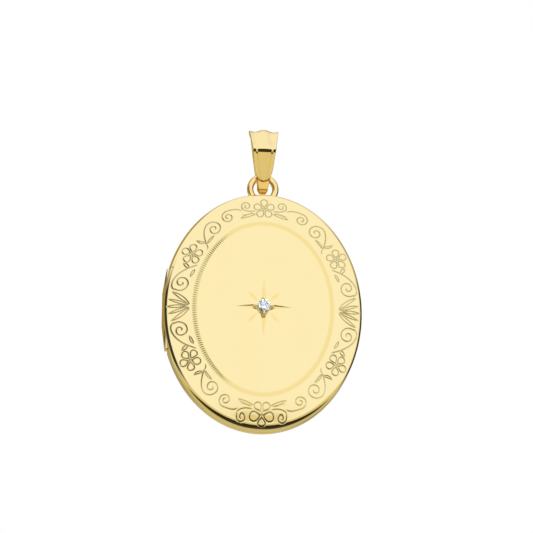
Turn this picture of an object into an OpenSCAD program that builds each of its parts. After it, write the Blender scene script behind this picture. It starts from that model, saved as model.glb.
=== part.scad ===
// Oval locket with a hinged front cover, a stone in a star cut, a jump ring and a fluted bail.
// Millimetres. X is to the wearer's left as seen from the front, Y runs to the back, Z is up.
// The origin is the centre of the round top of the bail, where a chain passes through along X.

/* [Locket body] */
// Width of the closed body
body_w = 24.2; // [23.2:0.1:25.6]
// Height of the closed body
body_h = 29.6; // [28.6:0.1:32]
// Thickness of the struck sheet
sheet_t = 0.35; // [0.3:0.01:0.4]
// Height of the straight wall of one half, from the seam
wall_h = 0.9; // [0.85:0.01:1]
// Width of the rounded shoulder, seen from the front
shoulder_w = 0.8; // [0.7:0.01:0.9]
// Height of the rounded shoulder
shoulder_h = 0.62; // [0.55:0.01:0.7]
// Rise of the border band from the shoulder to the panel
band_rise = 0.68; // [0.5:0.01:0.75]
// Rise of the domed front panel
dome_rise = 0.7; // [0.4:0.01:0.9]

/* [Front panel] */
// Width of the plain oval panel
panel_w = 17.1; // [16.1:0.1:17.6]
// Height of the plain oval panel
panel_h = 22; // [21:0.1:22.5]

/* [Hinge] */
// Length of the whole hinge
hinge_len = 10; // [9:0.1:10.4]
// Length of the middle knuckle
middle_len = 4; // [3:0.1:5]
// Radius of a knuckle
knuckle_r = 0.75; // [0.7:0.01:0.8]
// Radius of the hinge pin
pin_r = 0.2; // [0.18:0.01:0.22]

/* [Stone] */
// Diameter of the stone
stone_d = 1.6; // [1.5:0.05:1.8]

/* [Ring and bail] */
// Radius of the jump ring's centre line
ring_r = 1.55; // [1.5:0.01:1.6]
// Radius of the jump ring's wire
wire_r = 0.4; // [0.34:0.01:0.42]
// Height of the ring's centre above the centre of the body
ring_up = 16; // [15.9:0.05:16.1]
// Outer radius of the bail's round top
bail_r = 1.3; // [1.2:0.05:1.4]
// Depth of the bail's flutes at the top
flute = 0.3; // [0.1:0.02:0.4]

/* [Hidden] */

$fn = 48;
segments = 72;
gold = [0.93, 0.79, 0.46];
seam_y = -0.5;         // plane where the two halves meet
body_z = -22.39;       // centre of the oval body
seam_gap = 0.02;       // half the gap between the closed halves
gap = 0.02;            // soldered or pressed neighbours stand this far apart
a = body_w / 2;
b = body_h / 2;
panel_a = panel_w / 2;
panel_b = panel_h / 2;
shoulder_top = wall_h + shoulder_h;
band_top = shoulder_top + band_rise;
stone_r = stone_d / 2;

// Inset walls of one half, measured inwards from the outline
wall_in = 0.4;         // inner face of the cover's wall
bezel_out = wall_in + gap;
bezel_in = 1.8;
ledge_in = 2.45;
frame_out = 1.83;
frame_in = 2.75;
card_out = 1.9;

// Heights in one half, measured from the seam
ledge_low = 0.8;
bezel_top = 1.08;
card = [0.64, 0.79];
window = [0.48, 0.63];
frame = [0.12, 0.47];

// Hinge
hinge_x = -(a - knuckle_r);
swing_gap = 0.1;       // room round a knuckle of the other half
knuckle_gap = 0.05;    // between neighbouring knuckles
notch_top = 1.2;       // the covers' walls are cut away up to here along the hinge
end_out = 0.28;        // what is left outside the pin's axis at the two ends of the hinge

// ---- Oval solids -------------------------------------------------------------------------

function oval(ra, rb) =
    [for (i = [0:segments - 1]) let (t = 360 * i / segments) [ra * cos(t), rb * sin(t)]];

// One ring of points of a front half: a ring is [half width, half height, height above the seam]
function ring_points(ring) = [for (p = oval(ring[0], ring[1])) [p[0], -ring[2], p[1]]];

function inset(s, u) = [a - s, b - s, u];

function band(from, to) =
    [for (r = [from:to - 1], i = [0:segments - 1]) let (j = (i + 1) % segments)
        [r * segments + i, r * segments + j, (r + 1) * segments + j, (r + 1) * segments + i]];

// A closed ring whose section is the loop of rings
module oval_ring(rings) {
    n = len(rings);
    last = [for (i = [0:segments - 1]) let (j = (i + 1) % segments)
        [(n - 1) * segments + i, (n - 1) * segments + j, j, i]];
    polyhedron([for (r = rings) each ring_points(r)], concat(band(0, n - 1), last), convexity = 6);
}

// A closed shell: the outer rings run to the middle, the inner rings run back to the seam
module oval_shell(outer, inner) {
    rings = concat(outer, inner);
    m = len(outer);
    n = len(rings);
    cap_out = [[for (i = [0:segments - 1]) (m - 1) * segments + i]];
    cap_in = [[for (i = [segments - 1:-1:0]) m * segments + i]];
    seam = [for (i = [0:segments - 1]) let (j = (i + 1) % segments)
        [(n - 1) * segments + i, (n - 1) * segments + j, j, i]];
    faces = concat(band(0, m - 1), cap_out, band(m, n - 1), cap_in, seam);
    polyhedron([for (r = rings) each ring_points(r)], faces, convexity = 6);
}

module oval_plate(s, u) {
    translate([0, -u[0], 0]) rotate([90, 0, 0]) linear_extrude(u[1] - u[0]) polygon(oval(a - s, b - s));
}

module in_body() {
    translate([0, seam_y, body_z]) children();
}

module back_half() {
    in_body() mirror([0, 1, 0]) children();
}

// ---- Covers ------------------------------------------------------------------------------

// The shoulder turns this far from the wall before it meets the border band
turn = 73.5;
function shoulder(s0, u0, w, h) = [for (k = [0:4]) let (t = turn * k / 4)
    inset(s0 + w * (1 - cos(t)) / (1 - cos(turn)), u0 + h * sin(t) / sin(turn))];

function border(s, u0, u1) = [for (t = [0.34, 0.68, 1]) [
    (a - s) * (1 - t) + panel_a * t, (b - s) * (1 - t) + panel_b * t,
    u0 + (u1 - u0) * (0.85 * t + 0.15 * sin(90 * t))]];

function dome(u0, rise, shares) = [for (r = shares) [panel_a * r, panel_b * r, u0 + rise * (1 - r * r)]];

function cover_outer() = concat(
    [inset(0, seam_gap)], shoulder(0, wall_h, shoulder_w, shoulder_h),
    border(shoulder_w, shoulder_top, band_top));

function cover_inner() = concat(
    [for (k = [2:-1:0]) border(wall_in + 0.55, shoulder_top - sheet_t, band_top - sheet_t)[k]],
    [for (k = [4:-1:0]) shoulder(wall_in, wall_h - 0.05, 0.55, shoulder_top - sheet_t - wall_h + 0.05)[k]],
    [inset(wall_in, seam_gap)]);

// The wall is open along the hinge, so that the cover can turn past square
module hinge_notch() {
    room = 0.08;         // beyond each end of the hinge
    depth = 0.9;         // past the hinge's axis into the body
    translate([hinge_x - 3, -notch_top, -hinge_len / 2 - room])
        cube([3 + depth, 2 * notch_top, hinge_len + 2 * room]);
}

// Seat of the jump ring in the wall of the back half
module ring_seat() {
    translate([0, seam_y, ring_up]) jump_ring_at(wire_r + gap);
}

module front_cover() {
    shares = [0.8, 0.6, 0.4, 0.2];
    color(gold) in_body() difference() {
        oval_shell(
            concat(cover_outer(), dome(band_top, dome_rise, shares)),
            concat(dome(band_top - sheet_t, dome_rise, [0.2, 0.4, 0.6, 0.8]), cover_inner()));
        hinge_notch();
        rotate([90, 0, 0]) cylinder(r = stone_r * 0.68, h = 6);
    }
}

module back_cover() {
    color(gold) back_half() difference() {
        oval_shell(cover_outer(), cover_inner());
        hinge_notch();
        ring_seat();
    }
}

// ---- Bezels, frames, windows and cards ---------------------------------------------------

// Inner rim of one half, with a ledge that the window rests on
module bezel() {
    oval_ring([
        inset(bezel_out, 0.03), inset(bezel_out, wall_h - 0.05), inset(bezel_out + 0.3, bezel_top),
        inset(ledge_in, bezel_top), inset(ledge_in, ledge_low),
        inset(bezel_in, ledge_low), inset(bezel_in, 0.03)]);
}

module hinge_rod(r, from, to) {
    translate([hinge_x, 0, from]) cylinder(r = r, h = to - from);
}

// Channel for the knuckles: close round the half's own ones, wide round the other half's
module knuckle_channel(own_middle) {
    side = hinge_len / 2;
    mid = middle_len / 2;
    wide = knuckle_r + swing_gap;
    snug = knuckle_r + gap;
    hinge_rod(own_middle ? snug : wide, -mid - knuckle_gap, mid + knuckle_gap);
    for (s = [-1, 1]) {
        low = s > 0 ? mid - 0.01 : -side - 0.08;
        hinge_rod(own_middle ? wide : snug, low, low + side - mid + 0.09);
    }
}

tongue_x = a - 1.14;
tongue_t = 0.28;
tongue_w = 2.4;
tongue_up = 0.58;
snap_up = 0.36;

module tongue_slot(depth, room) {
    translate([tongue_x - room, -depth, -tongue_w / 2 - room])
        cube([tongue_t + 2 * room, depth + 1, tongue_w + 2 * room]);
}

// Snap bead of the tongue, and the groove that it drops into
module snap_bead(r, len) {
    translate([tongue_x + tongue_t, -snap_up, -len / 2]) cylinder(r = r, h = len);
}

module front_bezel() {
    color(gold) in_body() difference() {
        bezel();
        knuckle_channel(true);
        tongue_slot(tongue_up + 0.08, 0.05);
        snap_bead(0.16, tongue_w - 0.2);
    }
}

module back_bezel() {
    color(gold) back_half() difference() {
        bezel();
        knuckle_channel(false);
        tongue_slot(0.52, gap);
        ring_seat();
    }
}

module catch_tongue() {
    color(gold) in_body() union() {
        translate([tongue_x, -tongue_up, -tongue_w / 2]) cube([tongue_t, tongue_up + 0.5, tongue_w]);
        snap_bead(0.1, tongue_w - 0.8);
    }
}

module photo_frame() {
    color(gold) oval_ring([
        inset(frame_out, frame[0]), inset(frame_out, frame[1]), inset(frame_in, frame[1]),
        inset(frame_in, frame[1] - 0.1), inset(frame_in - 0.35, frame[0])]);
}

module window_pane() {
    color([0.9, 0.95, 1, 0.3]) oval_plate(frame_out + 0.05, window);
}

module photo_card() {
    color([0.95, 0.93, 0.87]) oval_plate(card_out, card);
}

module front_photo_frame() { in_body() photo_frame(); }
module back_photo_frame() { back_half() photo_frame(); }
module front_window() { in_body() window_pane(); }
module back_window() { back_half() window_pane(); }
module front_photo_card() { in_body() photo_card(); }
module back_photo_card() { back_half() photo_card(); }

// ---- Hinge -------------------------------------------------------------------------------

// A drilled barrel; its outer side is dressed flat to follow the oval outline
module knuckle(from, to, out_from, out_to) {
    color(gold) in_body() difference() {
        hinge_rod(knuckle_r, from, to);
        hinge_rod(pin_r + 0.02, from - 1, to + 1);
        translate([hinge_x, 2, 0]) rotate([90, 0, 0]) linear_extrude(4)
            polygon([[-out_from, from], [-out_to, to], [-3, to + 1], [-3, from - 1]]);
    }
}

module hinge_knuckle_middle() {
    mid = middle_len / 2;
    knuckle(-mid, mid, knuckle_r - 0.02, knuckle_r - 0.02);
}

module hinge_knuckle_upper() {
    knuckle(middle_len / 2 + knuckle_gap, hinge_len / 2, knuckle_r - 0.02, end_out);
}

module hinge_knuckle_lower() {
    knuckle(-hinge_len / 2, -middle_len / 2 - knuckle_gap, end_out, knuckle_r - 0.02);
}

module hinge_pin() {
    color(gold) in_body() hinge_rod(pin_r, -hinge_len / 2 - 0.02, hinge_len / 2 + 0.02);
}

// ---- Stone and its setting ---------------------------------------------------------------

girdle_up = band_top + dome_rise + 0.62;   // height of the stone's girdle above the seam
claw_n = 4;

// Points round the stone's axis: radius, height above the girdle, count, first angle
function around(r, h, n, turn) =
    [for (i = [0:n - 1]) let (t = turn + 360 * i / n) [r * cos(t), -girdle_up - h, r * sin(t)]];

module stone() {
    crown = stone_d * 0.15;
    pavilion = stone_d * 0.43;
    color([0.92, 0.96, 1, 0.6]) in_body() polyhedron(
        concat(
            around(stone_r * 0.55, crown, 8, 22.5), around(stone_r, 0.02, 16, 0),
            around(stone_r, -0.02, 16, 0), [[0, -girdle_up + pavilion, 0]]),
        concat(
            [[for (i = [0:7]) i]],
            [for (i = [0:7]) [(i + 7) % 8, 8 + 2 * i, i]],
            [for (i = [0:7]) [i, 8 + 2 * i, 8 + 2 * i + 1]],
            [for (i = [0:7]) [i, 8 + 2 * i + 1, 8 + (2 * i + 2) % 16]],
            [for (i = [0:15]) [8 + i, 24 + i, 24 + (i + 1) % 16, 8 + (i + 1) % 16]],
            [for (i = [0:15]) [24 + i, 40, 24 + (i + 1) % 16]]));
}

// Tapered ring that carries the stone on the dome
module stone_collet() {
    low = band_top + dome_rise - 0.02;
    color(gold) in_body() rotate([90, 0, 0]) rotate_extrude()
        polygon([
            [stone_r * 0.72, low], [stone_r * 1.12, low], [stone_r * 1.04, girdle_up - 0.06],
            [stone_r * 0.965, girdle_up - 0.06]]);
}

// Four claws, each a leaning wire with a rounded tip on the stone's edge
module stone_claws() {
    foot = [stone_r * 1.4, band_top + dome_rise - 0.02];
    tip = [stone_r * 1.15, girdle_up + 0.14];
    lean = atan((foot[0] - tip[0]) / (tip[1] - foot[1]));
    claw_r = 0.15;
    wire_share = 0.8;    // the wire's radius as a share of the tip's
    module claw() {
        translate([foot[0], 0, foot[1]]) rotate([0, -lean, 0])
            cylinder(r = wire_share * claw_r, h = tip[1] - foot[1]);
        translate([tip[0], 0, tip[1]]) sphere(r = claw_r);
    }
    color(gold) in_body() rotate([90, 0, 0])
        for (k = [0:claw_n - 1]) rotate([0, 0, 360 * k / claw_n]) union() claw();
}

// ---- Jump ring and bail ------------------------------------------------------------------

// Ring round the Y axis, in the plane y = 0 of the whole part
module jump_ring_at(r) {
    rotate([90, 0, 0]) rotate_extrude() translate([ring_r, 0]) circle(r = r);
}

module jump_ring() {
    color(gold) translate([0, 0, body_z + ring_up]) jump_ring_at(wire_r);
}

bail_t = 0.3;
loop_z = -6.35;          // centre of the bail's bottom loop
loop_r = 0.68;           // its outer radius
bend = [2.3, -1.85];     // widest point of the front leg, seen from the side
rear_bend = [2.05, -2.1];
tip_y = -1.06;           // outer face of the front leg at its tip
tip_z = -5.63;
strip_end_z = -5.55;     // the strip ends here, behind the front leg

function arc(cy, cz, r, from, to, n) =
    [for (i = [0:n]) let (t = from + (to - from) * i / n) [cy + r * cos(t), cz + r * sin(t)]];
function mix(p, q, t) = p * (1 - t) + q * t;
// A corner at q, rounded off over the distance d on each side
function corner(p, q, r, d, n) =
    let (p1 = q + (p - q) * d / norm(p - q), r1 = q + (r - q) * d / norm(r - q))
    [for (i = [0:n]) let (t = i / n) mix(mix(p1, q, t), mix(q, r1, t), t)];

front_tip = [tip_y, tip_z];
front_bend = [-bend[0], bend[1]];
front_top = bail_r * [cos(160), sin(160)];
rear_top = bail_r * [cos(20), sin(20)];
rear_foot = [0, loop_z] + loop_r * [cos(16), -sin(16)];

// Stations along the straight front leg, closer together at its rounded tip
leg_stops = [0, 0.08, 0.187, 0.374, 0.615, 0.882];

// Outer face of the strip seen from the side, from the front leg's tip over the top to the strip's end
bail_path = concat(
    [for (t = leg_stops) mix(front_tip, front_bend, t)],
    corner(front_tip, front_bend, front_top, 0.38, 4),
    arc(0, 0, bail_r, 160, 20, 10),
    corner(rear_top, rear_bend, rear_foot, 0.38, 4),
    [mix(rear_bend, rear_foot, 0.4), mix(rear_bend, rear_foot, 0.7)],
    arc(0, loop_z, loop_r, -16, -180, 9),
    [[-loop_r, (loop_z + strip_end_z) / 2], [-loop_r, strip_end_z]]);

path_n = len(bail_path);
function tangent(i) = let (d = bail_path[min(i + 1, path_n - 1)] - bail_path[max(i - 1, 0)]) d / norm(d);
// Towards the inside of the bail
function inward(i) = let (t = tangent(i)) [t[1], -t[0]];

// Half width of the strip: tapers from the top down both legs, more so at the rear, to the loop
top_half = 1.81;
function front_width(z) =
    lookup(z, [[-5.64, 0.85], [-4.9, 0.99], [-4.3, 1.12], [bend[1], 1.45], [bail_r, top_half]]);
function rear_width(z) =
    lookup(z, [[-5.5, 0.66], [-5, 0.8], [rear_bend[1], 1.24], [-1.2, 1.4], [bail_r, top_half]]);
function tip_width(i) = lookup(i, [[0, 0.2], [1, 0.66], [2, 0.9], [3, 2]]);
function loop_width(z) = lookup(z, [[loop_z - loop_r, 0.44], [loop_z, 0.62], [strip_end_z, 0.64]]);
first_loop = path_n - 12;
function leg_width(p) = p[0] < 0 ? front_width(p[1]) : rear_width(p[1]);
function strip_width(i) =
    i < first_loop ? min(tip_width(i), leg_width(bail_path[i])) : loop_width(bail_path[i][1]);

// Depth of the flutes along the strip, and across it: a rib, two hollows and raised edges
function flute_depth(i) =
    i < first_loop ? flute * lookup(bail_path[i][1], [[-5.6, 0.1], [rear_bend[1], 0.7], [0.6, 1]]) : 0;
hollow = 0.7;            // where the hollows are deepest, as a share of the half width
function flute_shape(x) =
    abs(x) < hollow ? (1 - cos(180 * abs(x) / hollow)) / 2 : 1 - 0.5 * (abs(x) - hollow) / (1 - hollow);

across = [-1, -0.85, -0.7, -0.6, -0.46, -0.32, -0.16, 0, 0.16, 0.32, 0.46, 0.6, 0.7, 0.85, 1];

module bail() {
    n = len(across);
    function at(i, x, t) = let (p = bail_path[i] + inward(i) * (flute_depth(i) * flute_shape(x) + t))
        [strip_width(i) * x, p[0], p[1]];
    points = [for (t = [0, bail_t], i = [0:path_n - 1], x = across) at(i, x, t)];
    m = path_n * n;
    quads = [for (i = [0:path_n - 2], k = [0:n - 2])
        [i * n + k, i * n + k + 1, (i + 1) * n + k + 1, (i + 1) * n + k]];
    edges = [for (i = [0:path_n - 2], k = [0, n - 1]) let (p = i * n + k, q = p + n)
        k == 0 ? [p, p + m, q + m, q] : [q, q + m, p + m, p]];
    ends = [for (i = [0, path_n - 1], k = [0:n - 2]) let (p = i * n + k)
        i == 0 ? [p + 1, p + 1 + m, p + m, p] : [p, p + m, p + 1 + m, p + 1]];
    outer = [for (f = quads) [f[0], f[3], f[2], f[1]]];
    inner = [for (f = quads) [for (v = f) v + m]];
    color(gold) polyhedron(points, [for (f = concat(outer, inner, edges, ends)) f], convexity = 8);
}

bail();
jump_ring();
back_cover();
back_bezel();
back_photo_card();
back_window();
back_photo_frame();
hinge_knuckle_upper();
hinge_knuckle_lower();
hinge_pin();
catch_tongue();
front_cover();
front_bezel();
front_photo_card();
front_window();
front_photo_frame();
hinge_knuckle_middle();
stone_collet();
stone_claws();
stone();
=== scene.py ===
"""Looks of an oval locket with a hinged cover, a star-set stone, a jump ring and a fluted bail."""

import math
import bmesh
import bpy
import numpy as np
from mathutils import Matrix, Vector
from mathutils.kdtree import KDTree


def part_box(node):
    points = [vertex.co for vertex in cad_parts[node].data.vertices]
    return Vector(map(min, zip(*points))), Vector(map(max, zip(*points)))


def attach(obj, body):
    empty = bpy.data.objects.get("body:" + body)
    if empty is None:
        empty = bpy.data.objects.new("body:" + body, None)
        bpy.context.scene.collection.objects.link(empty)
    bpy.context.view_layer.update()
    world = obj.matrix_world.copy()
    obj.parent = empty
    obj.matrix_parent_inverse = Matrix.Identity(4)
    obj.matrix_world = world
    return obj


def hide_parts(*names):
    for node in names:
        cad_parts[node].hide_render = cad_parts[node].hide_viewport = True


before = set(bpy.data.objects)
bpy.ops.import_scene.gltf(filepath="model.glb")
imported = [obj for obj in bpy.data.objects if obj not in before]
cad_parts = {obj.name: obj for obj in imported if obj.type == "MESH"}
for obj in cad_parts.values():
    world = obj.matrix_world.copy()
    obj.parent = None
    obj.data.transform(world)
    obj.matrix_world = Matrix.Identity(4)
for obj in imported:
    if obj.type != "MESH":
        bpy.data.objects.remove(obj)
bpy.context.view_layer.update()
MM = 0.001

# ---- Sizes shared with the CAD, in millimetres --------------------------------------------

# Insets are counted from the body's outline and heights (U) from the seam.
SEAM_GAP = 0.02        # half the gap between the closed halves
cover_low, cover_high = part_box("front_cover")
A = cover_high[0] / MM                          # half width of the body
B = (cover_high[2] - cover_low[2]) / 2 / MM     # half height of the body
SEAM_Y = cover_high[1] / MM + SEAM_GAP
BODY_Z = (cover_low[2] + cover_high[2]) / 2 / MM
PANEL_A = 8.65         # half width of the panel
PANEL_B = 11.0         # half height of the panel
WALL_H = 0.9           # height of the straight wall
WALL_IN = 0.4          # inset of the wall's inner face
SHOULDER_W = 0.8
SHOULDER_TOP = 1.52
BAND_TOP = 2.2         # height of the border at the panel's edge
DOME = 0.7             # rise of the panel
SHEET = 0.35
TURN = math.radians(73.5)                       # how far the shoulder turns from the wall
CHANNEL_W = 0.68       # the channel of fine cuts between the border and the panel
CHANNEL_SHARES = np.arange(1, 9) / 8
FINE_CUTS = 240
KNUCKLE_R = 0.75
KNUCKLE_GAP = 0.05
HINGE_X = KNUCKLE_R - A
HINGE_END = 5.0        # half length of the hinge
MIDDLE_END = 2.0       # half length of its middle knuckle
DRESSED = 0.73         # how far the knuckles' flat outer sides stand from the pin's axis
DRESSED_END = 0.28     # the same at the two ends of the hinge
PIN_R = 0.2
NOTCH_Z = 5.13         # half length of the notch beside the hinge
NOTCH_U = 1.2          # height of the notch
STONE_R = 0.8
STONE_HOLE = STONE_R * 0.68
GIRDLE_U = BAND_TOP + DOME + 0.62
RING_R = 1.55          # jump ring, to the middle of its wire
WIRE_R = 0.4
RING_Z = 16.0          # the ring's centre above the body's
TONGUE_X = A - 1.14    # inner face of the catch's tongue
TONGUE_T = 0.28
TONGUE_W = 2.4
BACK = -1
FRONT = 1


# ---- Materials ----------------------------------------------------------------------------

class Nodes:
    """Short hand for building a node tree from nothing."""

    def __init__(self, tree):
        self.tree = tree
        tree.nodes.clear()

    def add(self, kind, **values):
        n = self.tree.nodes.new(kind)
        for k, v in values.items():
            setattr(n, k, v)
        return n

    def link(self, a, b):
        self.tree.links.new(a, b)

    def math(self, op, a, b=None, c=None, clamp=False):
        n = self.add("ShaderNodeMath", operation=op, use_clamp=clamp)
        for i, v in enumerate((a, b, c)):
            if v is None:
                continue
            if hasattr(v, "links"):
                self.link(v, n.inputs[i])
            else:
                n.inputs[i].default_value = v
        return n.outputs[0]

    def ramp(self, value, stops):
        n = self.add("ShaderNodeValToRGB")
        elements = n.color_ramp.elements
        while len(elements) < len(stops):
            elements.new(0.5)
        for e, (p, c) in zip(elements, stops):
            e.position = p
            e.color = (*c, 1) if isinstance(c, tuple) else (c, c, c, 1)
        self.link(value, n.inputs["Fac"])
        return n.outputs["Color"]

    def mix(self, factor, a, b):
        m = self.add("ShaderNodeMix", data_type="RGBA")
        for socket, value in (("Factor", factor), ("A", a), ("B", b)):
            if hasattr(value, "links"):
                self.link(value, m.inputs[socket])
            else:
                m.inputs[socket].default_value = value
        return m.outputs["Result"]

    def noise(self, vector, scale, detail=2.0):
        t = self.add("ShaderNodeTexNoise")
        t.inputs["Scale"].default_value = scale
        t.inputs["Detail"].default_value = detail
        self.link(vector, t.inputs["Vector"])
        return t.outputs["Fac"]

    def mark(self, name):
        return self.add("ShaderNodeAttribute", attribute_name=name).outputs["Fac"]


def new_surface(name):
    """A material with one principled shader: the material, its nodes and the shader."""
    m = bpy.data.materials.new(name)
    m.use_nodes = True
    n = Nodes(m.node_tree)
    s = n.add("ShaderNodeBsdfPrincipled")
    n.link(s.outputs["BSDF"], n.add("ShaderNodeOutputMaterial").inputs["Surface"])
    return m, n, s


def gold(name, color, deep, rough, scratch, grain=0.0, metal=1.0, marks=()):
    """Polished gold with faint hairline scratches; a mark is an attribute with its colour of painted shade
    and its roughness.
    """
    m, n, s = new_surface(name)
    s.inputs["Metallic"].default_value = metal
    s.inputs["Specular Tint"].default_value = (1.0, 0.96, 0.88, 1)
    pos = n.add("ShaderNodeTexCoord").outputs["Object"]
    cloud = n.noise(pos, 260.0, 3.0)
    patch = n.math("MULTIPLY", n.math("SUBTRACT", cloud, 0.35, clamp=True), 0.5)
    tone = n.mix(patch, (*color, 1), (*deep, 1))
    cuts = []
    # each mark mixes its colour of painted shade into the base colour, as far as its attribute reaches
    for attribute, shade, extra in marks:
        cut = n.mark(attribute)
        tone = n.mix(cut, tone, (*shade, 1))
        cuts.append((cut, extra))
    n.link(tone, s.inputs["Base Color"])
    lines = None
    for turn in (0.5, 1.9, 2.7):
        spin = n.add("ShaderNodeMapping")
        spin.inputs["Rotation"].default_value = (0, turn, 0)
        spin.inputs["Scale"].default_value = (6000.0, 300.0, 180.0)
        n.link(pos, spin.inputs["Vector"])
        hair = n.noise(spin.outputs["Vector"], 1.0, 1.0)
        one = n.math("MULTIPLY", n.math("SUBTRACT", hair, 0.68, clamp=True), 6.0, clamp=True)
        lines = one if lines is None else n.math("MAXIMUM", lines, one)
    value = n.math("MULTIPLY_ADD", lines, scratch, rough)
    value = n.math("MULTIPLY_ADD", cloud, 0.02 + grain, value)
    for cut, extra in cuts:
        value = n.math("MULTIPLY_ADD", cut, extra, value)
    n.link(value, s.inputs["Roughness"])
    return m


def clear(name, color, ior, shade=None):
    """Clear film or crystal; an attribute darkens single facets toward the shade."""
    m, n, s = new_surface(name)
    s.inputs["Base Color"].default_value = (*color, 1)
    s.inputs["Transmission Weight"].default_value = 1.0
    s.inputs["IOR"].default_value = ior
    if shade:
        n.link(n.mix(n.mark("shade"), (*color, 1), (*shade, 1)), s.inputs["Base Color"])
    haze = n.noise(n.add("ShaderNodeTexCoord").outputs["Object"], 400.0)
    n.link(n.math("MULTIPLY", haze, 0.01), s.inputs["Roughness"])
    return m


def paper(name):
    """Uncoated card with a fine fibre."""
    m, n, s = new_surface(name)
    fibre = n.noise(n.add("ShaderNodeTexCoord").outputs["Object"], 2400.0, 6.0)
    n.link(n.ramp(fibre, [(0.3, (0.74, 0.68, 0.56)), (0.7, (0.86, 0.82, 0.72))]), s.inputs["Base Color"])
    s.inputs["Roughness"].default_value = 0.85
    bump = n.add("ShaderNodeBump")
    bump.inputs["Strength"].default_value = 0.3
    bump.inputs["Distance"].default_value = 0.00002
    n.link(fibre, bump.inputs["Height"])
    n.link(bump.outputs["Normal"], s.inputs["Normal"])
    return m


POLISHED = gold("polished_gold", (0.985, 0.835, 0.46), (0.97, 0.80, 0.40), rough=0.035, scratch=0.06)
# The engraved gold's marks paint shade into its colour: dark in the engraved cuts and the channel's fine
# cuts, warm orange in the star's rays and on the channel
ENGRAVED = gold("engraved_gold", (0.985, 0.838, 0.455), (0.97, 0.80, 0.40), rough=0.035, scratch=0.05,
                marks=(("cut", (0.2, 0.16, 0.05), 0.4), ("hatch_painted_shade", (0.45, 0.42, 0.15), 0.3),
                       ("ray", (0.95, 0.7, 0.23), 0.1)))
# the bail's mark paints an amber shade on the front leg's facet edges and on the loop
BAIL_GOLD = gold("bail_gold", (0.97, 0.80, 0.42), (0.95, 0.74, 0.34), rough=0.06, scratch=0.05,
                 marks=(("bail_painted_shade", (0.88, 0.56, 0.14), 0.2),))
# the jump ring's gold is warmer and more orange than the covers': painted warm reflection
WIRE_GOLD = gold("wire_gold", (0.98, 0.76, 0.36), (0.94, 0.64, 0.22), rough=0.17, scratch=0.05)
# the hinge's gold is darker and more saturated than the covers': painted shade
HINGE_GOLD = gold("hinge_gold", (0.90, 0.73, 0.36), (0.82, 0.62, 0.24), rough=0.2, scratch=0.08, grain=0.03)
# the claws' gold is darker and duller than the covers': painted shade
CLAW_GOLD = gold("claw_gold", (0.9, 0.78, 0.42), (0.8, 0.67, 0.3), rough=0.35, scratch=0.05, metal=0.5)
INNER_GOLD = gold("inner_gold", (0.95, 0.78, 0.42), (0.90, 0.70, 0.34), rough=0.16, scratch=0.1, grain=0.04)
WINDOW = clear("clear_film", (0.97, 0.985, 0.99), 1.45)
STONE = clear("brilliant", (0.96, 0.985, 1.0), 2.42, shade=(0.05, 0.13, 0.24))
CARD = paper("ivory_card")


# ---- Mesh helpers -------------------------------------------------------------------------

def make(name, verts, faces, material=None, smooth=True, sharp=40):
    """A mesh piece from points in millimetres."""
    mesh = bpy.data.meshes.new(name)
    corners = (np.asarray(verts, float) * MM).tolist()
    mesh.from_pydata(corners, [], [tuple(int(i) for i in f) for f in faces])
    mesh.validate()
    obj = bpy.data.objects.new(name, mesh)
    bpy.context.scene.collection.objects.link(obj)
    if smooth:
        shade_smooth(obj, sharp)
    if material:
        mesh.materials.append(material)
    return obj


def shade_smooth(obj, sharp):
    """Smooth shading, with edges sharper than the angle kept crisp."""
    obj.data.shade_smooth()
    obj.data.set_sharp_from_angle(angle=math.radians(sharp))


def place(obj, body, node):
    """The piece rides on a body and stands for a CAD node, which it hides."""
    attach(obj, body)
    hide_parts(node)


def mark(obj, name, start, values):
    """Writes an attribute that a material reads, from the point at start on; it is 0 elsewhere."""
    data = np.zeros(len(obj.data.vertices), np.float32)
    data[start:start + values.size] = values.ravel()
    obj.data.attributes.new(name, "FLOAT", "POINT").data.foreach_set("value", data)


def around(cols):
    """Cosines and sines of evenly spaced angles."""
    t = np.linspace(0, 2 * math.pi, cols, endpoint=False)
    return np.cos(t), np.sin(t)


def in_cover(x, z, u, side):
    """Points from a plan position and a height above the seam, in the front or the back half."""
    return np.stack(np.broadcast_arrays(x, SEAM_Y - side * u, BODY_Z + z), -1).reshape(-1, 3)


def cap(start, cols):
    """One face over a row of points."""
    return [start + i for i in range(cols)]


def grid_faces(rows, cols, start=0, closed_rows=False):
    """Quads of a grid of rows of points, each row a closed loop."""
    r = np.arange(rows if closed_rows else rows - 1)[:, None]
    c = np.arange(cols)[None, :]
    r2 = (r + 1) % rows
    c2 = (c + 1) % cols
    q = np.stack([r * cols + c, r * cols + c2, r2 * cols + c2, r2 * cols + c], -1)
    return (q.reshape(-1, 4) + start).tolist()


def oval_rows(profile, cols, side):
    """Ovals of points in one half: profile is a list of (inset, height above the seam)."""
    c, s = around(cols)
    return np.concatenate([in_cover((A - q) * c, (B - q) * s, u, side) for q, u in profile])


def outward(obj):
    """Turns every face outward."""
    bm = bmesh.new()
    bm.from_mesh(obj.data)
    bmesh.ops.recalc_face_normals(bm, faces=bm.faces)
    bm.to_mesh(obj.data)
    bm.free()


def carve(obj, cutters):
    """Cuts each cutter from obj and removes the cutters."""
    for c in cutters:
        mod = obj.modifiers.new("cut", "BOOLEAN")
        mod.operation = "DIFFERENCE"
        mod.solver = "EXACT"
        mod.object = c
    dg = bpy.context.evaluated_depsgraph_get()
    mesh = bpy.data.meshes.new_from_object(obj.evaluated_get(dg))
    obj.modifiers.clear()
    old = obj.data
    obj.data = mesh
    bpy.data.meshes.remove(old)
    for c in cutters:
        bpy.data.objects.remove(c)


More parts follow.
